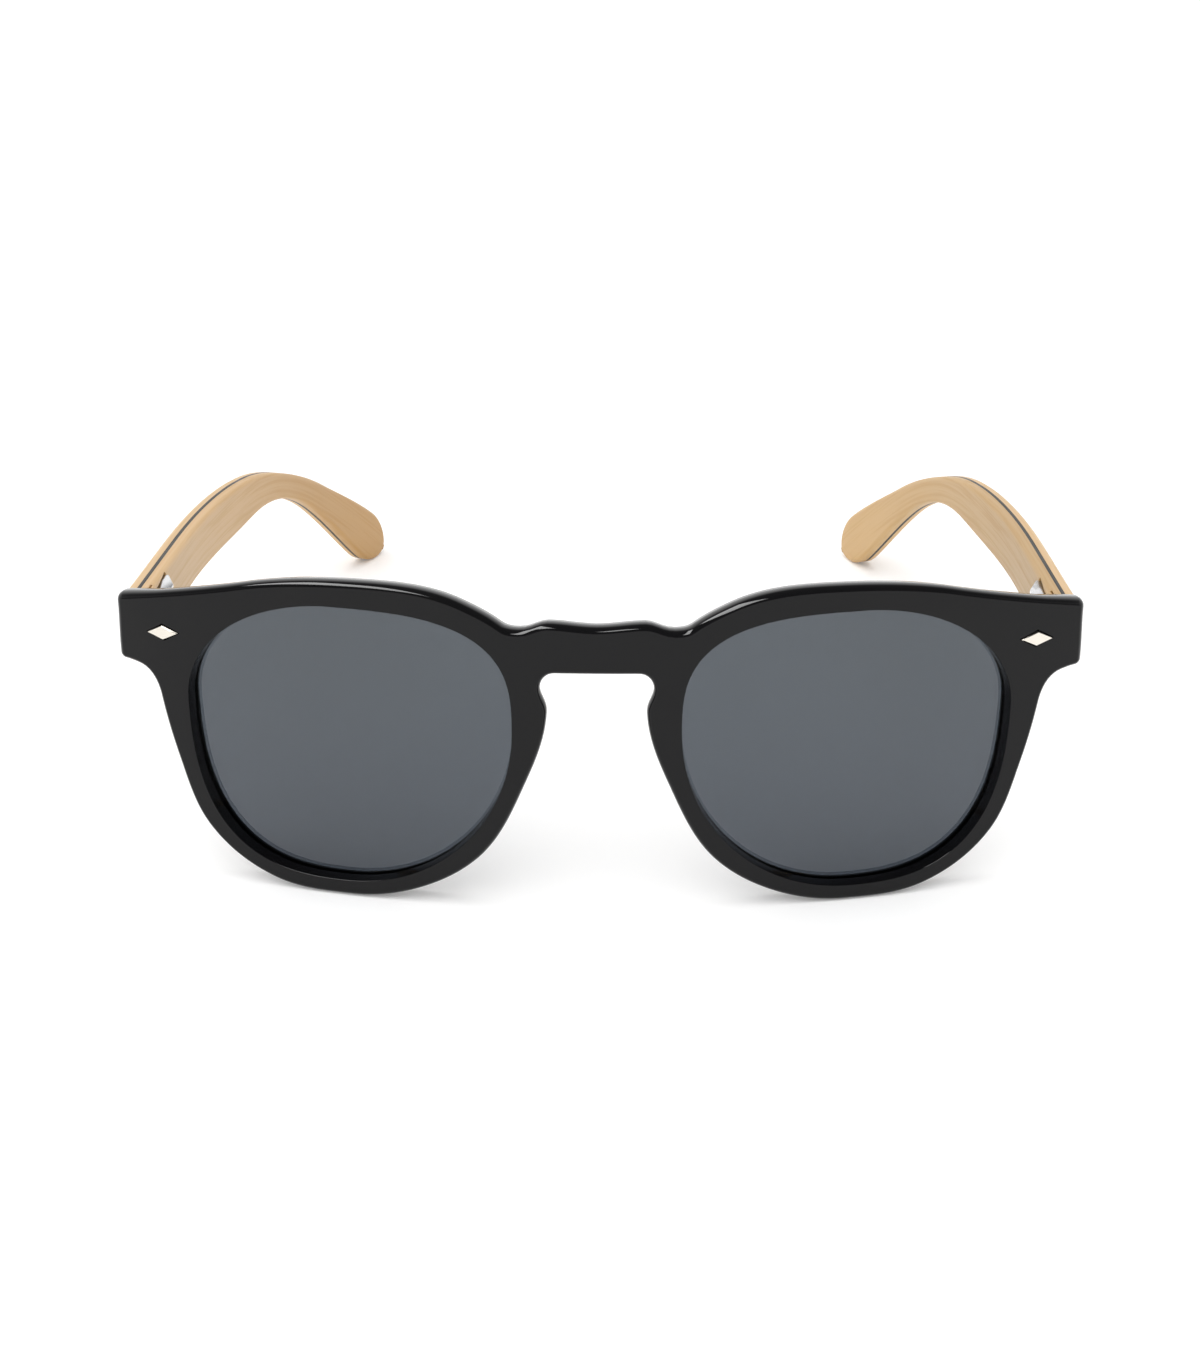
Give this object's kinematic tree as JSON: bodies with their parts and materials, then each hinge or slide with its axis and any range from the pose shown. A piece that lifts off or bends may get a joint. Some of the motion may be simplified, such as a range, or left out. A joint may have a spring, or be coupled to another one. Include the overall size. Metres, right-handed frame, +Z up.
{
  "type": "sunglasses",
  "caption": "Round keyhole sunglasses with a curved dark front, grey lenses, diamond rivets and laminated wooden temples on sprung hinges.",
  "frame": {"origin": "on the table under the middle of the open glasses: halfway across, and halfway from the face of the bridge to the temple tips", "axes": "+X across the face towards the wearer's left, +Y from the front towards the ears, +Z up"},
  "size_m": [0.1442, 0.1515, 0.0512],
  "materials": {
    "front_acetate": "polished charcoal black",
    "tinted_lens": "neutral grey tint, polished",
    "rivet_metal": "pearly polished silver with a warm tint",
    "hinge_metal": "satin silver",
    "spring_steel": "bright drawn wire",
    "maple_ply": "light maple, satin lacquer",
    "dark_ply": "dark dyed veneer, satin lacquer"
  },
  "bodies": {
    "front": {"front_frame": "front_acetate", "left_lens": "tinted_lens", "right_lens": "tinted_lens", "left_diamond_rivet": "rivet_metal", "right_diamond_rivet": "rivet_metal", "left_hinge_leaf": "hinge_metal", "right_hinge_leaf": "hinge_metal", "left_hinge_screw": "hinge_metal", "right_hinge_screw": "hinge_metal"},
    "left_slider": {"left_flex_slider": "hinge_metal", "left_flex_spring": "spring_steel", "left_spring_cap": "hinge_metal"},
    "left_temple": {"left_flex_housing": "hinge_metal", "left_temple_outer_ply": "maple_ply", "left_temple_core_ply": "dark_ply", "left_temple_inner_ply": "maple_ply"},
    "right_slider": {"right_flex_slider": "hinge_metal", "right_flex_spring": "spring_steel", "right_spring_cap": "hinge_metal"},
    "right_temple": {"right_flex_housing": "hinge_metal", "right_temple_outer_ply": "maple_ply", "right_temple_core_ply": "dark_ply", "right_temple_inner_ply": "maple_ply"}
  },
  "joints": [
    {"name": "left_fold", "type": "hinge", "parent": "front", "child": "left_slider", "pos_m": [0.06518, -0.0572, 0.04013], "axis": [0, 0, 1], "range_deg": [0, 84]},
    {"name": "left_flex_slide", "type": "slide", "parent": "left_slider", "child": "left_temple", "axis": [0, 1, 0], "range_m": [0, 0.0012], "stiffness_N_per_m": 1500, "springref_m": -0.002, "deforming": ["left_flex_spring"]},
    {"name": "right_fold", "type": "hinge", "parent": "front", "child": "right_slider", "pos_m": [-0.06518, -0.0572, 0.04013], "axis": [0, 0, -1], "range_deg": [0, 79]},
    {"name": "right_flex_slide", "type": "slide", "parent": "right_slider", "child": "right_temple", "axis": [0, 1, 0], "range_m": [0, 0.0012], "stiffness_N_per_m": 1500, "springref_m": -0.002, "deforming": ["right_flex_spring"]}
  ]
}
